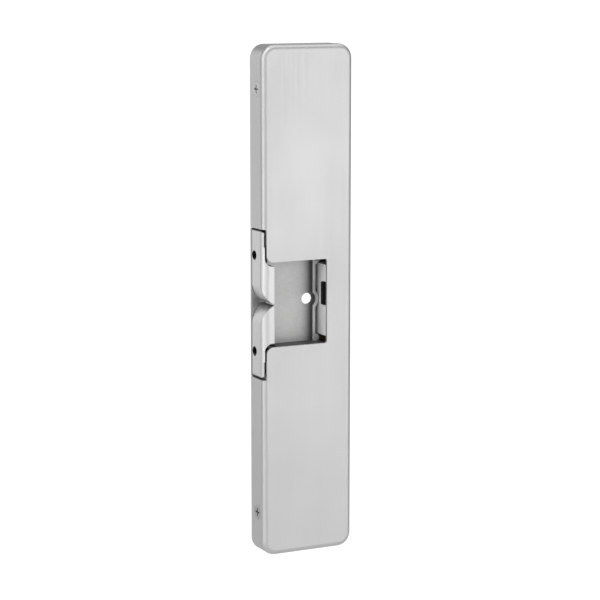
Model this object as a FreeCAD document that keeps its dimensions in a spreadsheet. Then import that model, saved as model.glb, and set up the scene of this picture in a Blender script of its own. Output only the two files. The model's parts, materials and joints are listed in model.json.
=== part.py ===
import FreeCAD, Part
import math
import os
import Sketcher

# Driving sizes in millimetres.  x runs to the right, z runs up, and depth is the
# height above the back face, which lies in the plane y = 0, towards the front (-Y).
SIZES = {
    "half_width": 22.225,
    "half_length": 114.3,
    "full_depth": 12.7,
    "sheet": 1.2,
    "sheet_inside": 11.5,
    "corner_radius": 6.35,
    "inner_radius": 5.15,
    "edge_radius": 2.35,
    "plate_depth": 1.5,
    "plate_half_width": 20.9,
    "plate_half_length": 112.95,
    "plate_corner": 5.0,
    # openings in the cover
    "latch_half": 19.05,
    "latch_right": 9.525,
    "latch_corner": 1.0,
    "notch_half": 33.7,
    "notch_face": 20.3,
    "notch_round": 3.0,
    # cover screws and their tabs
    "side_screw_z": 95.0,
    "side_screw_depth": 6.3,
    "screw_head": 3.5,
    "screw_shank": 1.7,
    "tab_inside": 19.4,
    "tab_half": 5.0,
    "tab_depth": 10.5,
    # mounting
    "mount_z": 88.9,
    "mount_hole": 2.8,
    "centre_x": 4.5,
    "centre_hole": 2.5,
    # keepers
    "pivot_x": 17.2,
    "pivot_z": 28.0,
    "pin_radius": 2.0,
    "pin_hole": 2.06,
    "pin_seat": 2.02,
    "keeper_back": 1.7,
    "keeper_face": 16.55,
    "cusp_z": 0.15,
    "arc_radius": 9.5,
    "arc_end": 9.1,
    "step_z": 17.25,
    "wall_inside": 20.9,
    "wall_depth": 11.3,
    "ramp_low": 26.2,
    "ramp_high": 23.6,
    "ramp_end": 35.0,
    "keeper_round": 3.4,
    "flare": 3.4,
    "wall_round": 1.0,
    "web_end": 20.0,
    "web_depth": 5.2,
    "boss_right": 14.0,
    "boss_depth": 7.6,
    "keeper_end": 32.9,
    "tail_half": 1.6,
    "tail_end": 38.0,
    "tail_depth": 8.9,
    "slot_low": 4.0,
    "slot_high": 6.4,
    "side_hole": 2.15,
    "side_hole_depth": 3.95,
    "side_hole_z": 21.6,
    # pocket
    "box_left": 16.0,
    "box_right": 9.4,
    "floor_depth": 2.2,
    "end_wall": 19.2,
    "end_wall_outside": 20.4,
    "end_wall_left": 13.8,
    "wall_top": 11.3,
    "ridge_left": 6.3,
    "ridge_right": 7.6,
    "ridge_top": 4.8,
    "bulge_inner": 3.63,
    "bulge_outer": 5.08,
    "bulge_inner_z": 2.9,
    "bulge_outer_z": 3.7,
    "foot_left": 4.0,
    "foot_right": 6.0,
    "foot_end": 24.4,
    "foot_depth": 4.0,
    # latch monitor
    "bracket_face": 9.6,
    "bracket_back": 10.4,
    "bracket_half": 16.1,
    "bracket_foot": 19.4,
    "slot_bottom": 2.3,
    "slot_top": 8.4,
    "slot_back": 7.3,
    "slot_round": 1.2,
    "lever_x": 12.2,
    "lever_depth": 4.2,
    "lever_hub": 1.5,
    "lever_pin": 0.75,
    "button_z": 3.0,
    "button_depth": 8.0,
    "button_radius": 0.9,
    # solenoids and locks
    "coil_x": 12.0,
    "coil_depth": 7.15,
    "coil_radius": 3.9,
    "plunger_radius": 2.0,
    "bar_left": 15.3,
    "bar_right": 8.9,
    "bar_low": 4.9,
    "bar_high": 9.4,
    "bar_end": 38.4,
    "bar_top": 49.5,
    "frame_low": 52.0,
    "frame_high": 84.0,
    "frame_half": 5.0,
    "frame_sheet": 1.4,
    "spring_wire": 0.25,
    "spring_radius": 2.7,
    "spring_low": 84.15,
    "spring_high": 95.3,
    "wire_radius": 0.5,
    # circuit board
    "board_left": 3.5,
    "board_right": 19.0,
    "board_low": 42.0,
    "board_high": 78.0,
    "board_back": 4.0,
    "board_front": 5.6,
    # wire entry
    "inlet_x": 10.0,
    "inlet_z": 58.0,
    "inlet_hole": 5.0,
    "inlet_bore": 3.0,
}

doc = FreeCAD.newDocument("strike")
dims = doc.addObject("Spreadsheet::Sheet", "dims")
for row, (alias, value) in enumerate(SIZES.items(), start=1):
    dims.set(f"A{row}", alias)
    dims.set(f"B{row}", str(value))
    dims.setAlias(f"B{row}", alias)
doc.recompute()


def terms(text):
    """Split 'a - b + 0.3' into signed words."""
    sign = 1
    found = []
    for word in text.split():
        if word == "+":
            sign = 1
        elif word == "-":
            sign = -1
        else:
            found.append((sign, word))
            sign = 1
    return found


def number(text, side=1):
    """Value of a sum of sizes; side -1 gives its negative."""
    total = 0.0
    for sign, word in terms(text):
        total += sign * (SIZES[word] if word in SIZES else float(word))
    return side * total


def formula(text, side=1):
    """The same sum as an expression on the sheet."""
    pieces = []
    for sign, word in terms(text):
        name = "dims." + word if word in SIZES else word
        pieces.append(f"{side * sign} * {name}")
    return " + ".join(pieces)


def place(item, x, depth, z, side=1):
    """Bind an item's position to sizes; depth counts from the back face."""
    item.setExpression("Placement.Base.x", formula(x))
    item.setExpression("Placement.Base.y", formula(depth, -1))
    item.setExpression("Placement.Base.z", formula(z, side))


def box(name, x, depth, z, side=1):
    """Block given by its limits in x, depth and z."""
    item = doc.addObject("Part::Box", name)
    item.setExpression("Length", f"({formula(x[1])}) - ({formula(x[0])})")
    item.setExpression("Width", f"({formula(depth[1])}) - ({formula(depth[0])})")
    item.setExpression("Height", f"({formula(z[1])}) - ({formula(z[0])})")
    place(item, x[0], depth[1], z[0] if side > 0 else z[1], side)
    return item


TURNS = {
    "x": FreeCAD.Rotation(FreeCAD.Vector(0, 1, 0), 90),
    "y": FreeCAD.Rotation(FreeCAD.Vector(1, 0, 0), 90),
    "z": FreeCAD.Rotation(),
}


def round_bar(kind, name, axis, span, across, side):
    item = doc.addObject(kind, name)
    item.Placement.Rotation = TURNS[axis]
    item.setExpression("Height", f"({formula(span[1])}) - ({formula(span[0])})")
    if axis == "x":
        place(item, span[0], across[0], across[1], side)
    elif axis == "y":
        place(item, across[0], span[0], across[1], side)
    else:
        place(item, across[0], across[1], span[0] if side > 0 else span[1], side)
    return item


def rod(name, axis, radius, span, across, side=1):
    """Cylinder along an axis; across gives the two other coordinates."""
    item = round_bar("Part::Cylinder", name, axis, span, across, side)
    item.setExpression("Radius", formula(radius))
    return item


def cone(name, axis, radii, span, across, side=1):
    """Cone along an axis, with its radius at the start and at the end of the span."""
    item = round_bar("Part::Cone", name, axis, span, across, side)
    first, last = radii if axis != "z" or side > 0 else radii[::-1]
    item.setExpression("Radius1", formula(first))
    item.setExpression("Radius2", formula(last))
    return item


def join(name, items):
    """Fuse several items into one."""
    item = doc.addObject("Part::MultiFuse", name)
    item.Shapes = items
    return item


def cut(name, base, tools):
    """Take tools away from a base."""
    tool = tools[0] if len(tools) == 1 else join(name + "_tools", tools)
    item = doc.addObject("Part::Cut", name)
    item.Base = base
    item.Tool = tool
    return item


def group(name, items):
    """Several identical pieces kept as separate solids in one sub-part."""
    item = doc.addObject("Part::Compound", name)
    item.Links = items
    return item


# ---------------------------------------------------------------- sketches


def origin_plane(body, role):
    for feature in body.Origin.OriginFeatures:
        if feature.Role == role:
            return feature
    raise ValueError(role)


def new_sketch(body, name, depth):
    """Sketch parallel to the back face at a given depth; it pads towards the front."""
    sketch = body.newObject("Sketcher::SketchObject", name)
    sketch.AttachmentSupport = [(origin_plane(body, "XZ_Plane"), "")]
    sketch.MapMode = "FlatFace"
    sketch.setExpression("AttachmentOffset.Base.z", formula(depth))
    return sketch


def bind(sketch, kind, index, point, text, side=1):
    key = sketch.addConstraint(
        Sketcher.Constraint(kind, -1, 1, index, point, number(text, side)))
    sketch.setExpression(f"Constraints[{key}]", formula(text, side))


def arc_between(start, end, radius, bulge):
    """Short arc from start to end, bulging to the left (1) or right (-1) of travel."""
    chord = end - start
    middle = (start + end) * 0.5
    normal = FreeCAD.Vector(-chord.y, chord.x, 0).normalize()
    rise = radius - math.sqrt(max(radius ** 2 - (chord.Length / 2) ** 2, 0.0))
    return Part.Arc(start, middle + normal * (bulge * rise), end)


def loop(sketch, corners, side=1):
    """Closed outline.  A corner (x, z) starts a straight run to the next one;
    (x, z, radius, bulge) starts an arc."""
    first = sketch.GeometryCount
    count = len(corners)
    points = [FreeCAD.Vector(number(c[0]), number(c[1], side), 0) for c in corners]
    for index, corner in enumerate(corners):
        start = points[index]
        end = points[(index + 1) % count]
        if len(corner) == 2:
            sketch.addGeometry(Part.LineSegment(start, end))
        else:
            arc = arc_between(start, end, number(corner[2]), corner[3] * side)
            sketch.addGeometry(arc)
    for index, corner in enumerate(corners):
        here = first + index
        after = first + (index + 1) % count
        here_start = start_point(sketch, here, points[index])
        here_end = 3 - here_start
        after_start = start_point(sketch, after, points[(index + 1) % count])
        sketch.addConstraint(
            Sketcher.Constraint("Coincident", here, here_end, after, after_start))
        bind(sketch, "DistanceX", here, here_start, corner[0])
        bind(sketch, "DistanceY", here, here_start, corner[1], side)
        if len(corner) > 2:
            key = sketch.addConstraint(
                Sketcher.Constraint("Radius", here, number(corner[2])))
            sketch.setExpression(f"Constraints[{key}]", formula(corner[2]))


def start_point(sketch, index, target):
    """Which end of a sketch piece (1 or 2) lies on the target point."""
    gap_one = sketch.getPoint(index, 1).distanceToPoint(target)
    gap_two = sketch.getPoint(index, 2).distanceToPoint(target)
    return 1 if gap_one < gap_two else 2


def ring(sketch, x, z, radius, side=1):
    """Circle in a sketch."""
    centre = FreeCAD.Vector(number(x), number(z, side), 0)
    index = sketch.addGeometry(
        Part.Circle(centre, FreeCAD.Vector(0, 0, 1), number(radius)))
    bind(sketch, "DistanceX", index, 3, x)
    if abs(centre.y) < 1e-9:
        sketch.addConstraint(Sketcher.Constraint("PointOnObject", index, 3, -1))
    else:
        bind(sketch, "DistanceY", index, 3, z, side)
    key = sketch.addConstraint(Sketcher.Constraint("Radius", index, number(radius)))
    sketch.setExpression(f"Constraints[{key}]", formula(radius))


def pad(body, name, sketch, low, high):
    feature = body.newObject("PartDesign::Pad", name)
    feature.Profile = sketch
    feature.setExpression("Length", f"({formula(high)}) - ({formula(low)})")
    sketch.Visibility = False
    doc.recompute()
    return feature


def pocket(body, name, sketch, length, forward=False):
    """Cut from the sketch towards the back, or towards the front."""
    before = body.Shape.Volume
    feature = body.newObject("PartDesign::Pocket", name)
    feature.Profile = sketch
    feature.Reversed = forward
    feature.setExpression("Length", formula(length))
    doc.recompute()
    if body.Shape.Volume >= before - 0.01:
        raise ValueError(name + " removes nothing")
    return feature


def round_edges(body, name, radius, chosen):
    """Round the edges for which chosen(edge) is true."""
    tip = body.Tip
    names = [f"Edge{i + 1}" for i, edge in enumerate(tip.Shape.Edges) if chosen(edge)]
    feature = body.newObject("PartDesign::Fillet", name)
    feature.Base = (tip, names)
    feature.setExpression("Radius", formula(radius))
    doc.recompute()
    return feature


def rounded_rectangle(half_x, half_z, radius):
    left = "- " + half_x
    low = "- " + half_z
    return [
        (left + " + " + radius, low),
        (half_x + " - " + radius, low, radius, -1),
        (half_x, low + " + " + radius),
        (half_x, half_z + " - " + radius, radius, -1),
        (half_x + " - " + radius, half_z),
        (left + " + " + radius, half_z, radius, -1),
        (left, half_z + " - " + radius),
        (left, low + " + " + radius, radius, -1),
    ]


# ---------------------------------------------------------------- cover and base


def make_cover():
    body = doc.addObject("PartDesign::Body", "cover_shell")
    outline = new_sketch(body, "cover_outline", "0")
    loop(outline, rounded_rectangle("half_width", "half_length", "corner_radius"))
    pad(body, "cover_pad", outline, "0", "full_depth")
    front = -number("full_depth")
    round_edges(body, "cover_edge", "edge_radius",
                lambda edge: edge.BoundBox.YMax < front + 0.001)
    inside = new_sketch(body, "cover_inside", "0")
    half_x = "half_width - sheet"
    half_z = "half_length - sheet"
    low_x = "- half_width + sheet"
    low_z = "- half_length + sheet"
    loop(inside, [
        (low_x + " + inner_radius", low_z),
        (half_x + " - inner_radius", low_z, "inner_radius", -1),
        (half_x, low_z + " + inner_radius"),
        (half_x, half_z + " - inner_radius", "inner_radius", -1),
        (half_x + " - inner_radius", half_z),
        (low_x + " + inner_radius", half_z, "inner_radius", -1),
        (low_x, half_z + " - inner_radius"),
        (low_x, low_z + " + inner_radius", "inner_radius", -1),
    ])
    pocket(body, "cover_hollow", inside, "sheet_inside", forward=True)
    opening = new_sketch(body, "cover_opening", "full_depth")
    loop(opening, [
        ("- half_width - 1", "- notch_half"),
        ("- notch_face", "- notch_half"),
        ("- notch_face", "- latch_half - notch_round", "notch_round", 1),
        ("- notch_face + notch_round", "- latch_half"),
        ("latch_right - latch_corner", "- latch_half", "latch_corner", -1),
        ("latch_right", "- latch_half + latch_corner"),
        ("latch_right", "latch_half - latch_corner", "latch_corner", -1),
        ("latch_right - latch_corner", "latch_half"),
        ("- notch_face + notch_round", "latch_half", "notch_round", 1),
        ("- notch_face", "latch_half + notch_round"),
        ("- notch_face", "notch_half"),
        ("- half_width - 1", "notch_half"),
    ])
    pocket(body, "cover_window", opening, "full_depth")
    sinks = []
    for side in (1, -1):
        sinks.append(cone(f"sink_left_{side}", "x", ("screw_head + 0.35", "screw_shank + 0.4"),
                          ("- half_width - 0.3", "- half_width + 1.5"),
                          ("side_screw_depth", "side_screw_z"), side))
        sinks.append(cone(f"sink_right_{side}", "x", ("screw_shank + 0.4", "screw_head + 0.35"),
                          ("half_width - 1.5", "half_width + 0.3"),
                          ("side_screw_depth", "side_screw_z"), side))
    return cut("cover", body, sinks)


def side_screw(name, hand, side):
    """Countersunk cross-recess screw; hand -1 is on the left side."""
    if hand < 0:
        spans = [("- half_width + 0.02", "- half_width + 1.8"),
                 ("- half_width + 1.7", "- half_width + 6")]
        radii = ("screw_head", "screw_shank")
        slot = ("- half_width - 0.1", "- half_width + 1.3")
    else:
        spans = [("half_width - 1.8", "half_width - 0.02"),
                 ("half_width - 6", "half_width - 1.7")]
        radii = ("screw_shank", "screw_head")
        slot = ("half_width - 1.3", "half_width + 0.1")
    across = ("side_screw_depth", "side_screw_z")
    head = cone(name + "_head", "x", radii, spans[0], across, side)
    shank = rod(name + "_shank", "x", "screw_shank", spans[1], across, side)
    upright = box(name + "_slot_a", slot, ("side_screw_depth - 0.4", "side_screw_depth + 0.4"),
                  ("side_screw_z - 1.9", "side_screw_z + 1.9"), side)
    level = box(name + "_slot_b", slot, ("side_screw_depth - 1.9", "side_screw_depth + 1.9"),
                ("side_screw_z - 0.4", "side_screw_z + 0.4"), side)
    return cut(name, join(name + "_solid", [head, shank]), [upright, level])


BASE_SCREWS = {
    "frame_a": ("- coil_x", "frame_low + 7"),
    "frame_b": ("- coil_x", "frame_high - 7"),
    "guide_a": ("- coil_x - 2.6", "bar_end + 4"),
    "guide_b": ("- coil_x + 2.4", "bar_end + 4"),
    "bridge": ("- 8.5", "23.7"),
    "foot": ("1", "22.3"),
    "bracket": ("17", "14"),
}


def base_screw(name, x, z, side, gap="0"):
    """Small countersunk screw put in from behind the base plate."""
    head = cone(name + "_head", "y", ("1.9 + " + gap, "0.95 + " + gap), ("0.03", "1"), (x, z), side)
    shank = rod(name + "_shank", "y", "0.95 + " + gap, ("0.9", "2.85"), (x, z), side)
    return join(name, [head, shank])


def make_base_plate():
    body = doc.addObject("PartDesign::Body", "plate_sheet")
    outline = new_sketch(body, "plate_outline", "0")
    corners = rounded_rectangle("plate_half_width", "plate_half_length", "plate_corner")
    wing = "notch_half - 0.3"
    corners[7:7] = [
        ("- plate_half_width", wing),
        ("- half_width", wing),
        ("- half_width", "- notch_half + 0.3"),
        ("- plate_half_width", "- notch_half + 0.3"),
    ]
    loop(outline, corners)
    pad(body, "plate_pad", outline, "0", "plate_depth")
    pieces = [body]
    holes = []
    for side in (1, -1):
        z = ("side_screw_z - tab_half", "side_screw_z + tab_half")
        depth = ("plate_depth - 0.5", "tab_depth")
        pieces.append(box(f"tab_left_{side}", ("- plate_half_width", "- tab_inside"), depth, z, side))
        pieces.append(box(f"tab_right_{side}", ("tab_inside", "plate_half_width"), depth, z, side))
        across = ("side_screw_depth", "side_screw_z")
        holes.append(rod(f"tab_hole_{side}", "x", "screw_shank + 0.05",
                         ("- half_width", "half_width"), across, side))
        holes.append(cone(f"tab_sink_left_{side}", "x", ("screw_head + 0.35", "screw_shank + 0.05"),
                          ("- half_width", "- half_width + 2.1"), across, side))
        holes.append(cone(f"tab_sink_right_{side}", "x", ("screw_shank + 0.05", "screw_head + 0.35"),
                          ("half_width - 2.1", "half_width"), across, side))
        holes.append(rod(f"mount_{side}", "y", "mount_hole", ("- 1", "3"), ("0", "mount_z"), side))
        holes.append(rod(f"pin_seat_{side}", "y", "pin_seat", ("- 1", "3"),
                         ("- pivot_x", "pivot_z"), side))
        for key, (x, height) in BASE_SCREWS.items():
            holes.append(base_screw(f"plate_{key}_{side}", x, height, side, "0.05"))
            holes.append(rod(f"plate_{key}_mouth_{side}", "y", "1.95", ("- 0.5", "0.04"),
                             (x, height), side))
    holes.append(rod("plate_centre", "y", "centre_hole + 1", ("- 1", "3"), ("centre_x", "0")))
    holes.append(rod("plate_inlet", "y", "inlet_hole", ("- 1", "3"), ("inlet_x", "- inlet_z")))
    return cut("base_plate", join("plate_solid", pieces), holes)


# ---------------------------------------------------------------- pocket and monitor


def make_strike_box():
    body = doc.addObject("PartDesign::Body", "pocket_casting")
    floor = new_sketch(body, "floor_outline", "plate_depth")
    loop(floor, [
        ("- box_left", "- latch_half"),
        ("- end_wall_left", "- latch_half"),
        ("- end_wall_left", "- end_wall_outside"),
        ("box_right", "- end_wall_outside"),
        ("box_right", "end_wall_outside"),
        ("- end_wall_left", "end_wall_outside"),
        ("- end_wall_left", "latch_half"),
        ("- box_left", "latch_half"),
    ])
    ring(floor, "centre_x", "0", "centre_hole")
    pad(body, "floor_pad", floor, "plate_depth", "floor_depth")
    ridge = new_sketch(body, "ridge_outline", "floor_depth")
    loop(ridge, [
        ("ridge_left", "- end_wall"),
        ("ridge_right", "- end_wall"),
        ("ridge_right", "- bulge_outer_z", "bulge_outer", -1),
        ("ridge_right", "bulge_outer_z"),
        ("ridge_right", "end_wall"),
        ("ridge_left", "end_wall"),
        ("ridge_left", "bulge_inner_z", "bulge_inner", 1),
        ("ridge_left", "- bulge_inner_z"),
    ])
    pad(body, "ridge_pad", ridge, "floor_depth", "ridge_top")
    for side in (1, -1):
        wall = new_sketch(body, f"end_wall_{side}", "floor_depth")
        loop(wall, [
            ("- end_wall_left", "end_wall"),
            ("box_right", "end_wall"),
            ("box_right", "end_wall_outside"),
            ("- end_wall_left", "end_wall_outside"),
        ], side)
        pad(body, f"end_wall_pad_{side}", wall, "floor_depth", "wall_top")
        foot = new_sketch(body, f"foot_{side}", "plate_depth")
        loop(foot, [
            ("- foot_left", "end_wall_outside"),
            ("foot_right", "end_wall_outside"),
            ("foot_right", "foot_end"),
            ("- foot_left", "foot_end"),
        ], side)
        pad(body, f"foot_pad_{side}", foot, "plate_depth", "foot_depth")
    x, z = BASE_SCREWS["foot"]
    holes = [rod(f"foot_hole_{side}", "y", "1", ("1", "3.2"), (x, z), side) for side in (1, -1)]
    lugs = [rod(f"corner_lug_{side}", "y", "1.7", ("floor_depth", "5.1"), ("7.7", "17.6"), side)
            for side in (1, -1)]
    return cut("strike_box", join("pocket_solid", [body] + lugs), holes)


def make_bracket():
    plate = box("bracket_plate", ("bracket_face", "bracket_back"), ("plate_depth", "wall_top"),
                ("- bracket_half", "bracket_half"))
    foot = box("bracket_base", ("bracket_face", "bracket_foot"), ("plate_depth", "2.3"),
               ("- bracket_half", "bracket_half"))
    ear_span = ("bracket_back - 0.2", "lever_x + 1.7")
    ear_low = box("ear_low", ear_span, ("2", "lever_depth + 1.6"),
                  ("- slot_bottom - 1.1", "- slot_bottom - 0.3"))
    ear_high = box("ear_high", ear_span, ("2", "lever_depth + 1.6"),
                   ("slot_top + 0.3", "slot_top + 1.1"))
    x = ("bracket_face - 1", "bracket_back + 0.3")
    slot = box("slot_front", x, ("slot_back + slot_round", "wall_top + 1"),
               ("- slot_bottom", "slot_top"))
    slot_rear = box("slot_rear", x, ("slot_back", "slot_back + slot_round + 0.1"),
                    ("- slot_bottom + slot_round", "slot_top - slot_round"))
    round_low = rod("slot_round_low", "x", "slot_round", x,
                    ("slot_back + slot_round", "- slot_bottom + slot_round"))
    round_high = rod("slot_round_high", "x", "slot_round", x,
                     ("slot_back + slot_round", "slot_top - slot_round"))
    pin = rod("ear_bore", "z", "lever_pin + 0.02", ("- 6", "12"), ("lever_x", "lever_depth"))
    screw_x, screw_z = BASE_SCREWS["bracket"]
    holes = [rod(f"bracket_hole_{side}", "y", "1", ("1", "3"), (screw_x, screw_z), side)
             for side in (1, -1)]
    switch = [rod(f"bracket_tap_{i}", "y", "0.75", ("1.4", "3"), ("17.2", z))
              for i, z in enumerate(("- 1.4", "7.4"))]
    solid = join("bracket_solid", [plate, foot, ear_low, ear_high])
    return cut("monitor_bracket", solid,
               [slot, slot_rear, round_low, round_high, pin] + holes + switch)


def make_lever():
    z = ("- slot_bottom + 0.3", "slot_top - 0.3")
    arm = box("lever_arm", ("lever_x - 0.7", "lever_x + 0.8"), ("lever_depth", "10.5"), z)
    nose = box("lever_nose", ("8.7", "lever_x - 0.5"), ("slot_back + 0.8", "10.5"), z)
    tip = rod("lever_tip", "z", "1.3", z, ("10", "slot_back + 2.1"))
    hub = rod("lever_hub_round", "z", "lever_hub", z, ("lever_x", "lever_depth"))
    bore = rod("lever_bore", "z", "lever_pin + 0.05", ("- 6", "12"), ("lever_x", "lever_depth"))
    return cut("monitor_lever", join("lever_solid", [arm, nose, tip, hub]), [bore])


def make_switch():
    case = box("switch_case", ("14.9", "bracket_foot"), ("2.35", "9.2"), ("- 3.4", "9.4"))
    bore = rod("switch_bore", "x", "button_radius + 0.05", ("14", "18.4"),
               ("button_depth", "button_z"))
    holes = [rod(f"switch_hole_{i}", "y", "0.8", ("2", "10"), ("17.2", z))
             for i, z in enumerate(("- 1.4", "7.4"))]
    cut("monitor_switch", case, [bore] + holes)
    rod("monitor_switch_button", "x", "button_radius", ("13.05", "16.9"),
        ("button_depth", "button_z"))
    screws = []
    for i, z in enumerate(("- 1.4", "7.4")):
        head = rod(f"switch_head_{i}", "y", "1.5", ("9.25", "10.2"), ("17.2", z))
        shank = rod(f"switch_shank_{i}", "y", "0.72", ("1.55", "9.4"), ("17.2", z))
        drive = box(f"switch_drive_{i}", ("16.2", "18.2"), ("9.8", "10.4"), (z + " - 0.2", z + " + 0.2"))
        screws.append(cut(f"switch_screw_{i}", join(f"switch_screw_solid_{i}", [head, shank]), [drive]))
    group("monitor_switch_screws", screws)


# ---------------------------------------------------------------- keepers


def ramp(name, side):
    """Slope that takes the keeper's outer end down to pass under the cover."""
    item = doc.addObject("Part::Wedge", name)
    spans = {
        "Xmin": "- half_width - 1",
        "Xmax": "- wall_inside + 0.5",
        "X2min": "- half_width - 1",
        "X2max": "- wall_inside + 0.5",
        "Ymin": "- full_depth - 1",
        "Ymax": "- wall_depth",
    }
    ends = {"Zmin": "ramp_high", "Zmax": "ramp_end", "Z2min": "ramp_low", "Z2max": "ramp_end"}
    if side < 0:
        ends = {"Zmin": "ramp_end", "Zmax": "ramp_high", "Z2min": "ramp_end", "Z2max": "ramp_low"}
    for key, text in spans.items():
        item.setExpression(key, formula(text))
    for key, text in ends.items():
        item.setExpression(key, formula(text, side))
    return item


def make_keeper(word, side):
    body = doc.addObject("PartDesign::Body", word + "_keeper_blank")
    bar = new_sketch(body, word + "_bar_outline", "keeper_back")
    loop(bar, [
        ("- keeper_face", "cusp_z"),
        ("- half_width", "cusp_z"),
        ("- half_width", "keeper_end"),
        ("- keeper_face", "keeper_end"),
    ], side)
    pad(body, word + "_bar_pad", bar, "keeper_back", "full_depth")
    left = -number("half_width")
    front = -number("full_depth")
    end = side * number("keeper_end")
    round_edges(body, word + "_bar_edge", "keeper_round",
                lambda edge: edge.BoundBox.YMax < front + 0.001
                and (edge.BoundBox.XMax < left + 0.001
                     or abs(edge.CenterOfMass.z - end) < 0.001))
    jaw = new_sketch(body, word + "_jaw_cut", "full_depth")
    loop(jaw, [
        ("- keeper_face", "cusp_z", "arc_radius", 1),
        ("- half_width", "arc_end"),
        ("- half_width - 1", "arc_end"),
        ("- half_width - 1", "cusp_z - 1"),
        ("- keeper_face", "cusp_z - 1"),
    ], side)
    pocket(body, word + "_jaw_pocket", jaw, "full_depth")
    corner = new_sketch(body, word + "_corner_cut", "full_depth")
    loop(corner, [
        ("- half_width", "keeper_end - wall_round", "wall_round", 1),
        ("- half_width + wall_round", "keeper_end"),
        ("- half_width + wall_round", "keeper_end + 1"),
        ("- half_width - 1", "keeper_end + 1"),
        ("- half_width - 1", "keeper_end - wall_round"),
    ], side)
    pocket(body, word + "_corner_pocket", corner, "full_depth")
    recess = new_sketch(body, word + "_recess", "full_depth")
    loop(recess, [
        ("- wall_inside", "step_z + flare", "flare", -1),
        ("- wall_inside + flare", "step_z"),
        ("- keeper_face + 1", "step_z"),
        ("- keeper_face + 1", "keeper_end + 1"),
        ("- wall_inside", "keeper_end + 1"),
    ], side)
    pocket(body, word + "_recess_pocket", recess, "full_depth - web_depth")
    boss = new_sketch(body, word + "_boss", "keeper_back")
    loop(boss, [
        ("- wall_inside - 0.3", "web_end"),
        ("- boss_right", "web_end"),
        ("- boss_right", "keeper_end"),
        ("- wall_inside - 0.3", "keeper_end"),
    ], side)
    pad(body, word + "_boss_pad", boss, "keeper_back", "boss_depth")
    tail = new_sketch(body, word + "_tail", "keeper_back")
    loop(tail, [
        ("- pivot_x + tail_half", "keeper_end - 1"),
        ("- pivot_x + tail_half", "tail_end - tail_half", "tail_half + 0.01", -1),
        ("- pivot_x - tail_half", "tail_end - tail_half"),
        ("- pivot_x - tail_half", "keeper_end - 1"),
    ], side)
    pad(body, word + "_tail_pad", tail, "keeper_back", "tail_depth")
    tools = [
        ramp(word + "_ramp", side),
        rod(word + "_pin_bore", "y", "pin_hole", ("0", "12"), ("- pivot_x", "pivot_z"), side),
        box(word + "_spring_slot", ("- wall_inside", "- boss_right + 1"), ("slot_low", "slot_high"),
            ("24.4", "31.6"), side),
        rod(word + "_side_bore", "x", "side_hole", ("- half_width - 1", "- half_width + 4.5"),
            ("side_hole_depth", "side_hole_z"), side),
    ]
    cut(word + "_keeper", body, tools)
    screw = rod(word + "_setscrew_body", "x", "side_hole - 0.05",
                ("- half_width + 2.2", "- half_width + 4.4"),
                ("side_hole_depth", "side_hole_z"), side)
    socket = doc.addObject("Part::Prism", word + "_socket")
    socket.Polygon = 6
    socket.Circumradius = 1.25
    socket.Height = 1.6
    socket.Placement.Rotation = TURNS["x"]
    place(socket, "- half_width + 2", "side_hole_depth", "side_hole_z", side)
    cut(word + "_keeper_setscrew", screw, [socket])
    rod(word + "_keeper_pin", "y", "pin_radius", ("0.05", "11.2"), ("- pivot_x", "pivot_z"), side)


def make_bridge(word, side):
    depth = ("9.3", "11.2")
    arm = box(word + "_bridge_arm", ("- pivot_x", "- 6"), depth, ("25", "31"), side)
    shoulder = box(word + "_bridge_top", ("- 11", "- 6"), depth, ("21", "31"), side)
    post = box(word + "_bridge_post", ("- 11", "- 6"), ("plate_depth", "9.8"), ("21", "26.5"), side)
    end = rod(word + "_bridge_end", "y", "3", depth, ("- pivot_x", "pivot_z"), side)
    bore = rod(word + "_bridge_bore", "y", "pin_seat", ("8", "12"), ("- pivot_x", "pivot_z"), side)
    x, z = BASE_SCREWS["bridge"]
    tap = rod(word + "_bridge_tap", "y", "1", ("1", "3.4"), (x, z), side)
    cut(word + "_pin_bridge", join(word + "_bridge_solid", [arm, shoulder, post, end]), [bore, tap])


# ---------------------------------------------------------------- springs


def coil_spring(name, radius, wire, pitch, height):
    """Coil spring round +Z, from z = 0 to its height."""
    helix = doc.addObject("Part::Helix", name + "_path")
    helix.Pitch = pitch
    helix.Height = height
    helix.Radius = radius
    helix.SegmentLength = 0.25
    section = doc.addObject("Part::Circle", name + "_section")
    section.Radius = wire
    section.Placement = FreeCAD.Placement(
        FreeCAD.Vector(radius, 0, 0), FreeCAD.Rotation(FreeCAD.Vector(1, 0, 0), 90))
    doc.recompute()
    sweep = doc.addObject("Part::Sweep", name)
    sweep.Sections = [section]
    sweep.Spine = (helix, [f"Edge{i + 1}" for i in range(len(helix.Shape.Edges))])
    sweep.Solid = True
    sweep.Frenet = True
    return sweep


def make_springs(word, side):
    wire = dims.get("spring_wire")
    length = dims.get("spring_high") - dims.get("spring_low") - 2 * wire
    spring = coil_spring(word + "_return_spring", dims.get("spring_radius"), wire,
                         length / 7, length)
    low = "spring_low + spring_wire" if side > 0 else "spring_high - spring_wire"
    place(spring, "- coil_x", "coil_depth", low, side)
    coil = coil_spring(word + "_keeper_spring", 2.5, 0.25, 0.8, 1.5)
    coil.Placement.Rotation = TURNS["y"]
    place(coil, "- pivot_x", "slot_low + 0.4", "pivot_z", side)


# ---------------------------------------------------------------- solenoid and lock


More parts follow.
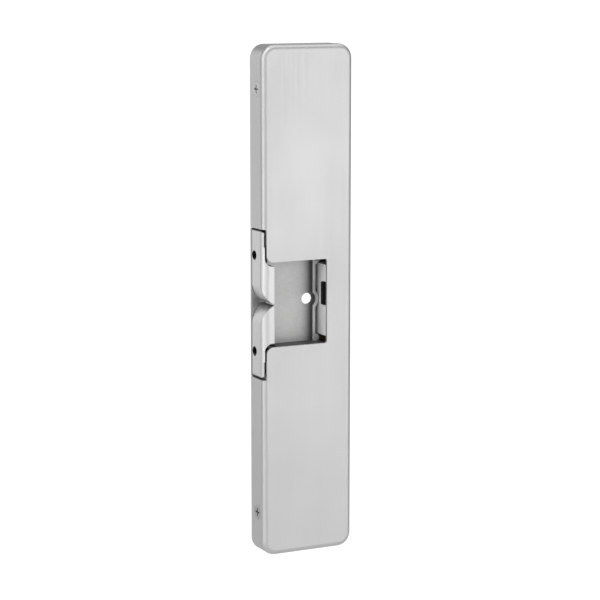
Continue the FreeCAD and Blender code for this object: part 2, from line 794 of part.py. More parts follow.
def make_solenoid(word, side):
    x = ("- coil_x - frame_half", "- coil_x + frame_half")
    axis = ("- coil_x", "coil_depth")
    strip = box(word + "_frame_strip", x, ("plate_depth", "plate_depth + frame_sheet"),
                ("frame_low", "frame_high"), side)
    lower = box(word + "_frame_lower", x, ("plate_depth", "11.2"),
                ("frame_low", "frame_low + frame_sheet"), side)
    upper = box(word + "_frame_upper", x, ("plate_depth", "11.2"),
                ("frame_high - frame_sheet", "frame_high"), side)
    bore = rod(word + "_frame_bore", "z", "plunger_radius + 0.1",
               ("frame_low - 1", "frame_high + 1"), axis, side)
    taps = [rod(f"{word}_frame_tap_{key}", "y", "1", ("1", "3.2"), BASE_SCREWS[key], side)
            for key in ("frame_a", "frame_b")]
    cut(word + "_solenoid_frame", join(word + "_frame_solid", [strip, lower, upper]), [bore] + taps)

    low = "frame_low + frame_sheet + 0.1"
    high = "frame_high - frame_sheet - 0.1"
    tube = rod(word + "_bobbin_tube", "z", "2.7", (low, high), axis, side)
    flange_low = rod(word + "_bobbin_low", "z", "coil_radius + 0.15", (low, low + " + 1.2"), axis, side)
    flange_high = rod(word + "_bobbin_high", "z", "coil_radius + 0.15", (high + " - 1.2", high),
                      axis, side)
    inside = rod(word + "_bobbin_bore", "z", "plunger_radius + 0.08",
                 ("frame_low - 1", "frame_high + 1"), axis, side)
    cut(word + "_bobbin", join(word + "_bobbin_solid", [tube, flange_low, flange_high]), [inside])

    winding = rod(word + "_winding", "z", "coil_radius", (low + " + 1.25", high + " - 1.25"),
                  axis, side)
    hollow = rod(word + "_winding_bore", "z", "2.75", ("frame_low - 1", "frame_high + 1"), axis, side)
    cut(word + "_coil", winding, [hollow])

    pole = rod(word + "_pole", "z", "plunger_radius + 0.05", ("frame_low", "frame_low + 12"),
               axis, side)
    pole_bore = rod(word + "_pole_bore", "z", "0.88", ("frame_low - 1", "frame_low + 13"), axis, side)
    cut(word + "_pole_piece", pole, [pole_bore])

    core = rod(word + "_core", "z", "plunger_radius", ("frame_low + 16.1", "97.5"), axis, side)
    push = rod(word + "_push_rod", "z", "0.8", ("bar_top - 3", "frame_low + 17"), axis, side)
    groove_ring = rod(word + "_groove_outer", "z", "3", ("95.4", "96.4"), axis, side)
    groove_core = rod(word + "_groove_core", "z", "1.6", ("95", "97"), axis, side)
    groove = cut(word + "_groove", groove_ring, [groove_core])
    lock_x = ("- coil_x - 4", "- coil_x + 4")
    cross = ("coil_depth", "bar_top - 1.5")
    pin_hole = rod(word + "_push_hole", "x", "0.37", lock_x, cross, side)
    cut(word + "_plunger", join(word + "_plunger_solid", [core, push]), [groove, pin_hole])
    clip = rod(word + "_clip_disc", "z", "3.5", ("95.45", "96.35"), axis, side)
    clip_bore = rod(word + "_clip_bore", "z", "1.65", ("95", "97"), axis, side)
    mouth = box(word + "_clip_mouth", ("- coil_x - 1", "- coil_x + 1"),
                ("coil_depth", "coil_depth + 5"), ("95", "97"), side)
    cut(word + "_plunger_clip", clip, [clip_bore, mouth])

    bar = box(word + "_bar", ("- bar_left", "- bar_right"), ("bar_low", "bar_high"),
              ("bar_end", "bar_top"), side)
    socket = rod(word + "_bar_socket", "z", "0.85", ("bar_top - 3.2", "bar_top + 1"), axis, side)
    bar_hole = rod(word + "_bar_hole", "x", "0.37", ("- bar_left - 1", "- bar_right + 1"), cross, side)
    cut(word + "_lock_bar", bar, [socket, bar_hole])
    rod(word + "_lock_pin", "x", "0.35", ("- bar_left + 0.1", "- bar_right - 0.1"), cross, side)

    guide = box(word + "_guide", ("- bar_left - 1.8", "- bar_right + 1.8"), ("plate_depth", "11.2"),
                ("39", "46"), side)
    window = box(word + "_guide_window", ("- bar_left - 0.08", "- bar_right + 0.08"),
                 ("bar_low - 0.08", "bar_high + 0.08"), ("38", "47"), side)
    taps = [rod(f"{word}_guide_tap_{key}", "y", "1", ("1", "3.2"), BASE_SCREWS[key], side)
            for key in ("guide_a", "guide_b")]
    cut(word + "_lock_guide", guide, [window] + taps)


# ---------------------------------------------------------------- electrics


def make_board():
    board = box("board_blank", ("board_left", "board_right"), ("board_back", "board_front"),
                ("board_low", "board_high"))
    spots = [("board_left + 2.2", "board_low + 2.2"), ("board_right - 2.2", "board_low + 2.2"),
             ("board_left + 2.2", "board_high - 2.2"), ("board_right - 2.2", "board_high - 2.2")]
    holes = [rod(f"board_hole_{i}", "y", "1.05", ("3", "7"), spot) for i, spot in enumerate(spots)]
    cut("circuit_board", board, holes)
    posts = []
    screws = []
    for i, spot in enumerate(spots):
        post = rod(f"standoff_{i}_post", "y", "1.9", ("plate_depth", "board_back"), spot)
        tap = rod(f"standoff_{i}_tap", "y", "1.05", ("2", "5"), spot)
        posts.append(cut(f"standoff_{i}", post, [tap]))
        head = rod(f"board_screw_{i}_head", "y", "1.75", ("board_front", "board_front + 1.3"), spot)
        shank = rod(f"board_screw_{i}_shank", "y", "1", ("2.1", "board_front + 0.2"), spot)
        upright = box(f"board_screw_{i}_slot_a", (spot[0] + " - 0.2", spot[0] + " + 0.2"),
                      ("board_front + 0.6", "8"), (spot[1] + " - 1", spot[1] + " + 1"))
        level = box(f"board_screw_{i}_slot_b", (spot[0] + " - 1", spot[0] + " + 1"),
                    ("board_front + 0.6", "8"), (spot[1] + " - 0.2", spot[1] + " + 0.2"))
        screws.append(cut(f"board_screw_{i}", join(f"board_screw_{i}_solid", [head, shank]),
                          [upright, level]))
    group("board_standoffs", posts)
    group("board_screws", screws)
    box("rectifier", ("6", "12"), ("board_front + 0.3", "board_front + 3"), ("62", "68"))
    rod("varistor", "y", "3.3", ("board_front + 0.3", "board_front + 2.6"), ("14.6", "56.4"))
    rod("capacitor", "z", "2.4", ("60.5", "71.5"), ("15.6", "board_front + 2.7"))
    header = box("header_block", ("5.2", "17.4"), ("board_front", "board_front + 5"), ("46.6", "51.4"))
    taps = []
    wires = []
    terminals = []
    for i in range(4):
        x = f"{6.9 + 2.93 * i:.2f}"
        taps.append(rod(f"header_tap_{i}", "y", "1.05", ("board_front + 2", "board_front + 6"), (x, "49.6")))
        wires.append(box(f"header_mouth_{i}", (x + " - 0.9", x + " + 0.9"),
                         ("board_front + 0.8", "board_front + 2.6"), ("46", "48.4")))
        screw = rod(f"terminal_{i}_body", "y", "1", ("board_front + 2.1", "board_front + 4.8"), (x, "49.6"))
        slot = box(f"terminal_{i}_slot", (x + " - 0.2", x + " + 0.2"),
                   ("board_front + 4.2", "board_front + 6"), ("48", "51"))
        terminals.append(cut(f"terminal_{i}", screw, [slot]))
    cut("terminal_header", header, taps + wires)
    group("terminal_screws", terminals)


def make_grommet():
    across = ("inlet_x", "- inlet_z")
    neck = rod("grommet_neck", "y", "inlet_hole - 0.05", ("0", "plate_depth + 0.1"), across)
    lip = rod("grommet_lip", "y", "inlet_hole + 1.2", ("plate_depth", "plate_depth + 1.2"), across)
    bore = rod("grommet_bore", "y", "inlet_bore", ("- 1", "4"), across)
    cut("wire_grommet", join("grommet_solid", [neck, lip]), [bore])


def tube(points, bend, radius):
    """Round wire along straight runs joined by tangent arcs."""
    edges = []
    length = 0.0
    start = points[0]
    for index in range(1, len(points) - 1):
        corner = points[index]
        back = (points[index - 1] - corner).normalize()
        ahead = (points[index + 1] - corner).normalize()
        half = back.getAngle(ahead) / 2
        reach = bend / math.tan(half)
        first = corner + back * reach
        last = corner + ahead * reach
        bisector = (back + ahead).normalize()
        middle = corner + bisector * (bend / math.sin(half) - bend)
        edges.append(Part.LineSegment(start, first).toShape())
        edges.append(Part.Arc(first, middle, last).toShape())
        length += (first - start).Length + bend * (math.pi - 2 * half)
        start = last
    edges.append(Part.LineSegment(start, points[-1]).toShape())
    length += (points[-1] - start).Length
    path = Part.Wire(edges)
    heading = (points[1] - points[0]).normalize()
    section = Part.Wire([Part.makeCircle(radius, points[0], heading)])
    solid = path.makePipeShell([section], True, False)
    expected = math.pi * radius ** 2 * length
    if abs(solid.Volume - expected) > 0.02 * expected:
        raise ValueError("wire volume is wrong")
    return solid


def leads(name, routes):
    """Wires held inside the strike; a route lists x, depth and z in millimetres."""
    radius = dims.get("wire_radius")
    solids = []
    for route in routes:
        points = [FreeCAD.Vector(x, -depth, z) for x, depth, z in route]
        solids.append(tube(points, 2 * radius, radius))
    item = doc.addObject("Part::Feature", name)
    item.Shape = Part.makeCompound(solids)
    item.Placement = FreeCAD.Placement()
    return item


def make_leads():
    leads("upper_coil_leads", [
        [(-7.2, 10.4, 80.4), (-3.2, 10.4, 80.4), (-3.2, 2.4, 80.4), (-3.2, 2.4, 48.5), (8.8, 2.4, 48.5),
         (8.8, 2.4, 50.5)],
        [(-7.2, 8.6, 80.4), (-4.8, 8.6, 80.4), (-4.8, 2.4, 80.4), (-4.8, 2.4, 41.0), (11.0, 2.4, 41.0),
         (11.0, 2.4, 39.6)],
    ])
    leads("lower_coil_leads", [
        [(-7.2, 10.4, -80.4), (-3.2, 10.4, -80.4), (-3.2, 2.4, -80.4), (-3.2, 2.4, -40.0),
         (20.3, 2.4, -40.0), (20.3, 2.4, 38.2), (12.8, 2.4, 38.2)],
        [(-7.2, 8.6, -80.4), (-4.8, 8.6, -80.4), (-4.8, 2.4, -80.4), (-4.8, 2.4, -38.0),
         (20.3, 2.4, -38.0), (20.3, 4.0, -38.0), (20.3, 4.0, 36.6), (12.8, 4.0, 36.6)],
    ])
    leads("switch_leads", [
        [(15.8, 5.0, -3.5), (15.8, 5.0, -34.0), (11.0, 5.0, -34.0), (11.0, 5.0, -50.0)],
        [(17.6, 5.0, -3.5), (17.6, 5.0, -36.0), (13.0, 5.0, -36.0), (13.0, 5.0, -50.0)],
    ])


# ---------------------------------------------------------------- assembly


make_cover()
group("cover_screws", [side_screw(f"side_screw_{hand}_{side}", hand, side)
                       for hand in (-1, 1) for side in (1, -1)])
make_base_plate()
group("base_screws", [base_screw(f"base_{key}_{side}", x, z, side)
                      for key, (x, z) in BASE_SCREWS.items() for side in (1, -1)])
make_strike_box()
make_bracket()
make_lever()
rod("monitor_lever_pin", "z", "lever_pin", ("- slot_bottom - 1.3", "slot_top + 1.3"),
    ("lever_x", "lever_depth"))
make_switch()
for word, side in (("upper", 1), ("lower", -1)):
    make_keeper(word, side)
    make_bridge(word, side)
    make_springs(word, side)
    make_solenoid(word, side)
make_board()
make_grommet()
make_leads()
doc.recompute()

SINGLE = ["cover", "cover_screws", "base_plate", "base_screws", "strike_box", "monitor_bracket",
          "monitor_lever", "monitor_lever_pin", "monitor_switch", "monitor_switch_button",
          "monitor_switch_screws", "circuit_board", "board_standoffs", "board_screws",
          "rectifier", "varistor", "capacitor", "terminal_header", "terminal_screws",
          "wire_grommet", "upper_coil_leads", "lower_coil_leads", "switch_leads"]
PAIRED = ["keeper", "keeper_setscrew", "keeper_pin", "keeper_spring", "pin_bridge",
          "solenoid_frame", "bobbin", "coil", "pole_piece", "plunger", "plunger_clip",
          "lock_bar", "lock_pin", "lock_guide", "return_spring"]
NODES = SINGLE + [f"{word}_{name}" for name in PAIRED for word in ("upper", "lower")]

for item in doc.Objects:
    if "Invalid" in item.State or "Error" in item.State:
        raise ValueError(item.Name + " did not rebuild")
    if item.isDerivedFrom("Part::Feature") and (item.Shape.isNull() or not item.Shape.isValid()):
        raise ValueError(item.Name + " has a bad shape")

os.makedirs("parts", exist_ok=True)
for node in NODES:
    item = doc.getObject(node)
    item.Label = node
    item.Shape.exportStep(f"parts/{node}.step")
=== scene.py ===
import json
import math

import bmesh
import bpy
from mathutils import Matrix, Vector


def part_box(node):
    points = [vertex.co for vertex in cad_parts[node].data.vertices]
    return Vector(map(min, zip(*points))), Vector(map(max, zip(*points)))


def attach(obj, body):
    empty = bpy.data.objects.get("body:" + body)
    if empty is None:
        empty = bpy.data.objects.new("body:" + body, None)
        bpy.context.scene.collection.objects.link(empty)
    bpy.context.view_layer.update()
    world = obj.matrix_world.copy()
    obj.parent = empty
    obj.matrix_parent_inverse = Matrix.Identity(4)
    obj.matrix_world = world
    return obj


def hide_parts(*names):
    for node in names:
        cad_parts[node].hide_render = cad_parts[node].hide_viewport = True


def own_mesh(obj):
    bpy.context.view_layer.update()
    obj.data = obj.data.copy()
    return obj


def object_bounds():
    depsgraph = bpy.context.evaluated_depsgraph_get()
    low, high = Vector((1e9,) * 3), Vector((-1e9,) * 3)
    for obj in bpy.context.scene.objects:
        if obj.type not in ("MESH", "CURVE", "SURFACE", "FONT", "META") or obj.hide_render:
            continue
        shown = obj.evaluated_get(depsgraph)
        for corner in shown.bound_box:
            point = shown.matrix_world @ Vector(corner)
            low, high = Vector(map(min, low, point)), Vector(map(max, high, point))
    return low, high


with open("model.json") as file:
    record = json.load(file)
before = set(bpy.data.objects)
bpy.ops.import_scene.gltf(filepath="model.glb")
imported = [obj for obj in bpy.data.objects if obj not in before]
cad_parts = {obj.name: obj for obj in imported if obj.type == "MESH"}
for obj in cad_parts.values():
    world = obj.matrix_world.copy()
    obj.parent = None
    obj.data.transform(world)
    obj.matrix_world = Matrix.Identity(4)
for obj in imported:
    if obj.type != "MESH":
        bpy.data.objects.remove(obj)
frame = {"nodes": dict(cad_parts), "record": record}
CAD_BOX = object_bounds()
NODES = frame["nodes"]
MM = 0.001


# ---------------------------------------------------------------- materials


MIX_SOCKETS = (0, 6, 7)  # the factor, first colour and second colour of a colour mix
MIX_RESULT = 2


class Graph:
    """Short words for building a node material."""

    def __init__(self, name):
        self.material = bpy.data.materials.new(name)
        self.material.use_nodes = True
        self.tree = self.material.node_tree
        self.tree.nodes.clear()
        self.out = self.add("ShaderNodeOutputMaterial")
        self.shader = self.add("ShaderNodeBsdfPrincipled")
        self.link(self.shader.outputs["BSDF"], self.out.inputs["Surface"])
        self.coordinates = self.add("ShaderNodeTexCoord")
        self.place = self.coordinates.outputs["Object"]

    def add(self, kind):
        return self.tree.nodes.new(kind)

    def link(self, source, target):
        self.tree.links.new(source, target)

    def set(self, socket, value):
        self.shader.inputs[socket].default_value = value

    def noise(self, scale, detail, roughness=0.5):
        """Noise over the object's own coordinates; scale is per metre in x, y and z."""
        mapping = self.add("ShaderNodeMapping")
        mapping.inputs["Scale"].default_value = scale
        self.link(self.place, mapping.inputs["Vector"])
        node = self.add("ShaderNodeTexNoise")
        node.inputs["Scale"].default_value = 1.0
        node.inputs["Detail"].default_value = detail
        node.inputs["Roughness"].default_value = roughness
        self.link(mapping.outputs["Vector"], node.inputs["Vector"])
        return node.outputs["Fac"]

    def span(self, source, low, high, from_low=0.3, from_high=0.7):
        """Map a factor's range from from_low to from_high onto low to high, clamped."""
        node = self.add("ShaderNodeMapRange")
        node.inputs["From Min"].default_value = from_low
        node.inputs["From Max"].default_value = from_high
        node.inputs["To Min"].default_value = low
        node.inputs["To Max"].default_value = high
        self.link(source, node.inputs["Value"])
        return node.outputs["Result"]

    def part_of(self, vector, axis):
        """One component of a vector output."""
        parts = self.add("ShaderNodeSeparateXYZ")
        self.link(vector, parts.inputs[0])
        return parts.outputs[axis]

    def facing_front(self):
        """1 on faces that look straight out of the front, 0 on walls, below 0 on back faces."""
        return self.math("MULTIPLY", self.part_of(self.coordinates.outputs["Normal"], "Y"), -1.0)

    def facing_ends(self):
        """1 on faces that look straight up or down the object's length."""
        return self.math("ABSOLUTE", self.part_of(self.coordinates.outputs["Normal"], "Z"))

    def deeper_than(self, depth):
        """1 on what lies less than this far in front of the object's back face."""
        return self.math("GREATER_THAN", self.part_of(self.place, "Y"), -depth)

    def feed(self, socket, value):
        """Give a socket another node's output, a number or a colour."""
        if isinstance(value, bpy.types.NodeSocket):
            self.link(value, socket)
        elif isinstance(value, (int, float)):
            socket.default_value = value
        else:
            socket.default_value = (*value, 1.0)

    def mix(self, factor, first, second, blend="MIX"):
        node = self.add("ShaderNodeMix")
        node.data_type = "RGBA"
        node.blend_type = blend
        for index, value in zip(MIX_SOCKETS, (factor, first, second)):
            self.feed(node.inputs[index], value)
        return node.outputs[MIX_RESULT]

    def math(self, operation, first, second=0.0):
        node = self.add("ShaderNodeMath")
        node.operation = operation
        for socket, value in zip(node.inputs, (first, second)):
            self.feed(socket, value)
        return node.outputs[0]

    def bumps(self, layers, edge):
        """Bump layers (height, strength, distance) over edges softened by a radius, in metres."""
        soft = self.add("ShaderNodeBevel")
        soft.samples = 6
        soft.inputs["Radius"].default_value = edge
        normal = soft.outputs["Normal"]
        for height, strength, distance in layers:
            node = self.add("ShaderNodeBump")
            node.inputs["Strength"].default_value = strength
            node.inputs["Distance"].default_value = distance
            self.link(height, node.inputs["Height"])
            self.link(normal, node.inputs["Normal"])
            normal = node.outputs["Normal"]
        self.link(normal, self.shader.inputs["Normal"])


def shade(colour, factor):
    """The colour made darker or lighter by a factor."""
    return tuple(min(1.0, part * factor) for part in colour)


def brushed(name, colour, roughness, lines, blotch, fine=2600.0, edge=0.00012, relief=0.00001, shade_depth=0.0):
    """Brushed steel with the brushing along Z.

    Given a depth, the ends and the steps nearer to the back than it are painted almost black, as painted
    shade.
    """
    g = Graph(name)
    stretch = 180.0
    streaks = g.noise((fine, fine, fine / stretch), detail=4.0, roughness=0.62)
    long_streaks = g.noise((fine / 5, fine / 5, fine / (3 * stretch)), detail=2.0)
    cloud = g.noise((34.0, 34.0, 21.0), detail=2.0)
    base = g.mix(g.span(streaks, 0.0, 1.0), shade(colour, 1 - lines), shade(colour, 1 + lines))
    base = g.mix(g.span(long_streaks, 0.0, 0.5), base, shade(colour, 1 - lines * 0.8))
    base = g.mix(g.span(cloud, 0.0, 1.0), base, g.mix(1.0, base, shade((1, 1, 1), 1 - blotch), "MULTIPLY"))
    if shade_depth:
        # painted shade: front-facing steps deeper than the given depth and faces that look along the length
        # are painted almost black
        front = g.span(g.facing_front(), 0.0, 1.0, from_low=0.5, from_high=0.8)
        steps = g.math("MULTIPLY", g.deeper_than(shade_depth), front)
        ends = g.span(g.facing_ends(), 0.0, 0.8, from_low=0.6, from_high=0.95)
        painted_dark = shade(colour, 0.05)
        base = g.mix(g.math("MAXIMUM", steps, ends), base, painted_dark)
    g.link(base, g.shader.inputs["Base Color"])
    g.set("Metallic", 1.0)
    rough = g.math("ADD", g.span(streaks, roughness - 0.05, roughness + 0.05), g.span(cloud, -0.03, 0.03))
    g.link(rough, g.shader.inputs["Roughness"])
    g.bumps([(streaks, 0.35, relief)], edge)
    return g.material


def plated(name, colour, roughness=0.42, metal=1.0):
    """Dull plated sheet with rolling marks and faint stains."""
    g = Graph(name)
    grain = g.noise((3000.0, 3000.0, 900.0), detail=3.0)
    cloud = g.noise((90.0, 90.0, 60.0), detail=4.0, roughness=0.6)
    base = g.mix(g.span(cloud, 0.0, 1.0), shade(colour, 0.9), shade(colour, 1.08))
    base = g.mix(g.span(grain, 0.0, 0.3), base, shade(colour, 0.8))
    g.link(base, g.shader.inputs["Base Color"])
    g.set("Metallic", metal)
    g.link(g.span(cloud, roughness - 0.06, roughness + 0.08), g.shader.inputs["Roughness"])
    g.bumps([(grain, 0.3, 0.00001), (cloud, 0.2, 0.00002)], edge=0.0001)
    return g.material


def cast(name, colour, walls, ridge_shade):
    """Bead-blasted casting: a pitted, mottled skin.

    Walls have this share of the colour, as painted shade. The ridge shade (start x, end x, depth) is a
    painted shadow that thickens from the start to the end, on what lies within the depth of the back.
    """
    g = Graph(name)
    roughness = 0.55
    pits = g.noise((1500.0, 1500.0, 1500.0), detail=5.0, roughness=0.7)
    mottle = g.noise((420.0, 420.0, 420.0), detail=4.0, roughness=0.65)
    cloud = g.noise((70.0, 70.0, 70.0), detail=2.0)
    base = g.mix(g.span(mottle, 0.0, 1.0), shade(colour, 0.86), shade(colour, 1.12))
    base = g.mix(g.span(pits, 0.0, 0.55), base, shade(colour, 0.72))
    base = g.mix(g.span(cloud, 0.0, 0.4), base, shade(colour, 1.1))
    # painted shade: faces that don't look out of the front are darkened to the walls share of the colour
    wall_shade_mask = g.span(g.facing_front(), 1.0, 0.0, from_low=0.3, from_high=0.9)
    base = g.mix(wall_shade_mask, base, shade(colour, walls))
    # painted shadow: within the depth of the back, the floor darkens along x towards the ridge, where the
    # ridge and the pocket wall shade it
    start, end, depth = ridge_shade
    near = g.math("POWER", g.span(g.part_of(g.place, "X"), 0.0, 1.0, start, end), 1.6)
    low = g.math("MULTIPLY", g.deeper_than(depth), near)
    shadow_colour = shade(colour, 0.25)
    base = g.mix(g.math("MULTIPLY", low, 0.9), base, shadow_colour)
    g.link(base, g.shader.inputs["Base Color"])
    g.set("Metallic", 0.75)
    g.link(g.span(mottle, roughness - 0.06, roughness + 0.08), g.shader.inputs["Roughness"])
    g.bumps([(mottle, 0.35, 0.00005), (pits, 0.5, 0.00004)], edge=0.00015)
    return g.material


def machined(name, colour, roughness, metal=1.0):
    """Turned or drawn metal with fine random scratches."""
    g = Graph(name)
    scratch = g.noise((5200.0, 5200.0, 700.0), detail=3.0)
    cloud = g.noise((240.0, 240.0, 240.0), detail=2.0)
    base = g.mix(g.span(cloud, 0.0, 1.0), shade(colour, 0.9), shade(colour, 1.06))
    g.link(base, g.shader.inputs["Base Color"])
    g.set("Metallic", metal)
    g.link(g.span(scratch, roughness - 0.06, roughness + 0.1), g.shader.inputs["Roughness"])
    g.bumps([(scratch, 0.25, 0.000006)], edge=0.00008)
    return g.material


def moulded(name, colour, roughness, grain=2600.0, relief=0.00002, coat=0.0, gloss=0.5):
    """Moulded plastic or rubber with a fine sparked skin."""
    g = Graph(name)
    skin = g.noise((grain, grain, grain), detail=3.0, roughness=0.6)
    cloud = g.noise((150.0, 150.0, 150.0), detail=2.0)
    base = g.mix(g.span(cloud, 0.0, 1.0), shade(colour, 0.85), shade(colour, 1.15))
    base = g.mix(g.span(skin, 0.0, 0.25), base, shade(colour, 1.35))
    g.link(base, g.shader.inputs["Base Color"])
    g.link(g.span(skin, roughness - 0.06, roughness + 0.1), g.shader.inputs["Roughness"])
    g.set("Coat Weight", coat)
    g.set("Specular IOR Level", gloss)
    g.bumps([(skin, 0.4, relief)], edge=0.0001)
    return g.material


def circuit(name):
    """Solder mask over a glass-cloth weave, with faint copper tracks under it."""
    g = Graph(name)
    weave = g.add("ShaderNodeTexWave")
    weave.inputs["Scale"].default_value = 900.0
    weave.inputs["Distortion"].default_value = 1.5
    g.link(g.place, weave.inputs["Vector"])
    tracks = g.noise((420.0, 420.0, 60.0), detail=1.0)
    band = g.span(tracks, 0.0, 1.0, from_low=0.49, from_high=0.52)
    base = g.mix(weave.outputs["Fac"], (0.008, 0.085, 0.03), (0.012, 0.11, 0.04))
    base = g.mix(g.math("MULTIPLY", band, 0.55), base, (0.03, 0.2, 0.06))
    g.link(base, g.shader.inputs["Base Color"])
    g.set("Roughness", 0.3)
    g.set("Coat Weight", 0.35)
    g.bumps([(band, 0.3, 0.00003), (weave.outputs["Fac"], 0.1, 0.00001)], edge=0.00008)
    return g.material


def winding(name):
    """Enamelled copper wire, uneven in tone along the coil."""
    g = Graph(name)
    tone = g.noise((500.0, 500.0, 2400.0), detail=2.0)
    base = g.mix(g.span(tone, 0.0, 1.0), (0.46, 0.16, 0.06), (0.72, 0.3, 0.12))
    g.link(base, g.shader.inputs["Base Color"])
    g.set("Metallic", 0.85)
    g.link(g.span(tone, 0.22, 0.34), g.shader.inputs["Roughness"])
    g.set("Coat Weight", 0.4)
    return g.material


def make_materials():
    """Every finish of the strike, by slot; bracket_plate and solder stand in for their pieces' slots."""
    return {
        "satin_steel": brushed("satin_steel", (0.66, 0.66, 0.66), roughness=0.47, lines=0.02, blotch=0.02),
        # keeper_steel: painted shade, almost black, on its deep steps and end faces
        "keeper_steel": brushed("keeper_steel", (0.8, 0.8, 0.795), roughness=0.5, lines=0.05, blotch=0.04,
                                fine=2000.0, edge=0.00018, relief=0.00002, shade_depth=8.5 * MM),
        "zinc_plate": plated("zinc_plate", (0.42, 0.42, 0.415)),
        # cast_zinc: painted shade on its walls and a painted shadow on the floor towards the ridge
        "cast_zinc": cast("cast_zinc", (0.66, 0.66, 0.655), walls=0.2, ridge_shade=(1.2 * MM, 6.6 * MM, 3 * MM)),
        "bracket_plate": plated("bracket_plate", (0.92, 0.92, 0.915), 0.5, metal=0.15),
        "bright_screw": machined("bright_screw", (0.55, 0.55, 0.545), 0.3),
        "black_plastic": moulded("black_plastic", (0.003, 0.003, 0.0033), 0.55, gloss=0.12),
        "pin_steel": machined("pin_steel", (0.5, 0.5, 0.5), 0.22),
        "black_oxide": machined("black_oxide", (0.006, 0.006, 0.006), 0.5, metal=0.0),
        "spring_steel": machined("spring_steel", (0.42, 0.42, 0.44), 0.24),
        "soft_iron": machined("soft_iron", (0.4, 0.4, 0.385), 0.38),
        "bobbin_plastic": moulded("bobbin_plastic", (0.68, 0.65, 0.52), 0.42),
        "copper_wire": winding("copper_wire"),
        "brass_bar": machined("brass_bar", (0.62, 0.45, 0.18), 0.28),
        "board_green": circuit("board_green"),
        "blue_epoxy": moulded("blue_epoxy", (0.015, 0.06, 0.32), 0.22, 700.0, 0.00005, coat=0.6),
        "sleeve_plastic": moulded("sleeve_plastic", (0.02, 0.02, 0.05), 0.25, 900.0, 0.00002, coat=0.5),
        "green_plastic": moulded("green_plastic", (0.03, 0.22, 0.07), 0.4),
        "black_rubber": moulded("black_rubber", (0.014, 0.014, 0.014), 0.75, 1800.0, 0.00005),
        "red_wire": moulded("red_wire", (0.42, 0.015, 0.012), 0.42, 1400.0, 0.00001),
        "yellow_wire": moulded("yellow_wire", (0.62, 0.4, 0.02), 0.42, 1400.0, 0.00001),
        "solder": machined("solder", (0.6, 0.6, 0.58), 0.2),
    }


MATERIALS = make_materials()


def dress_nodes():
    """Give every carried-over node the procedural finish of its slot."""
    slots = {part["node"]: part["material_slot"] for part in frame["record"]["subparts"]}
    slots["monitor_bracket"] = "bracket_plate"
    for name, item in NODES.items():
        material = MATERIALS[slots[name]]
        if not item.material_slots:
            item.data.materials.append(material)
        for place in item.material_slots:
            place.link = "OBJECT"
            place.material = material


# ---------------------------------------------------------------- pieces


def piece(name, bm, material, body="housing"):
    """A finished piece made from a bmesh, riding on a body."""
    mesh = bpy.data.meshes.new(name)
    bm.to_mesh(mesh)
    bm.free()
    item = bpy.data.objects.new(name, mesh)
    bpy.context.scene.collection.objects.link(item)
    mesh.materials.append(MATERIALS[material])
    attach(item, body)
    return item


def lathe(profile, centre, segments):
    """Turned shape round a vertical axis from (radius, z) points, closed on itself."""
    bm = bmesh.new()
    rings = []
    for index in range(segments):
        angle = 2 * math.pi * index / segments
        rings.append([bm.verts.new((centre.x + r * math.cos(angle), centre.y + r * math.sin(angle), z))
                      for r, z in profile])
    count = len(profile)
    for index in range(segments):
        here = rings[index]
        after = rings[(index + 1) % segments]
        for row in range(count):
            step = (row + 1) % count
            bm.faces.new((here[row], after[row], after[step], here[step]))
    bmesh.ops.recalc_face_normals(bm, faces=bm.faces)
    for face in bm.faces:
        face.smooth = True
    return bm


def middle(node):
    """A node's centre, and the lowest and highest corner of its box."""
    low, high = (Vector(corner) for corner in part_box(node))
    return (low + high) / 2, low, high


def make_windings():
    """The outer layer of each coil, turn by turn; each turn's section is an arc."""
    wire = 0.42 * MM
    inner = 2.76 * MM
    end_gap = 0.05 * MM
    arc_steps = 5
    for word in ("upper", "lower"):
        centre, low, high = middle(f"{word}_coil")
        outer = (high.x - low.x) / 2 - wire / 2
        turns = int((high.z - low.z - 2 * end_gap) / wire)
        start = centre.z - turns * wire / 2
        profile = [(inner, start)]
        for turn in range(turns):
            for step in range(arc_steps):
                angle = math.pi * step / arc_steps
                z = start + wire * (turn + (1 - math.cos(angle)) / 2)
                profile.append((outer + wire / 2 * math.sin(angle), z))
        profile.append((inner, start + turns * wire))
        coil = piece(f"{word}_coil_turns", lathe(profile, centre, segments=40), "copper_wire")
        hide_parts(f"{word}_coil")


def make_return_springs():
    """Return springs, wound as helices of round wire in the CAD springs' places.

    The gather draws the turns together at both ends, and steps and corners are the points round
    each turn and round the wire, whose radius is wire.
    """
    turns, steps, corners = 7, 32, 8
    gather = 0.55
    wire = 0.25 * MM
    for word, fixed_end_is_low in (("upper", True), ("lower", False)):
        centre, low, high = middle(f"{word}_return_spring")
        radius = (high.x - low.x) / 2 - wire
        height = high.z - low.z - 2 * wire
        draw = gather / (2 * math.pi)
        bm = bmesh.new()
        rings = []
        for index in range(turns * steps + 1):
            share = index / (turns * steps)
            angle = 2 * math.pi * index / steps
            z = low.z + wire + height * (share - draw * math.sin(2 * math.pi * share))
            out = Vector((math.cos(angle), math.sin(angle), 0))
            spine = Vector((centre.x, centre.y, z)) + out * radius
            ring = []
            for corner in range(corners):
                turn = 2 * math.pi * corner / corners
                ring.append(bm.verts.new(spine + out * (wire * math.cos(turn))
                                         + Vector((0, 0, wire * math.sin(turn)))))
            rings.append(ring)
        for here, after in zip(rings, rings[1:]):
            for corner in range(corners):
                step = (corner + 1) % corners
                bm.faces.new((here[corner], here[step], after[step], after[corner]))
        bm.faces.new(rings[0])
        bm.faces.new(list(reversed(rings[-1])))
        bmesh.ops.recalc_face_normals(bm, faces=bm.faces)
        for face in bm.faces:
            face.smooth = len(face.verts) == 4
        spring = piece(f"{word}_return_coil", bm, "spring_steel")
        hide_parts(f"{word}_return_spring")
        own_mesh(spring)


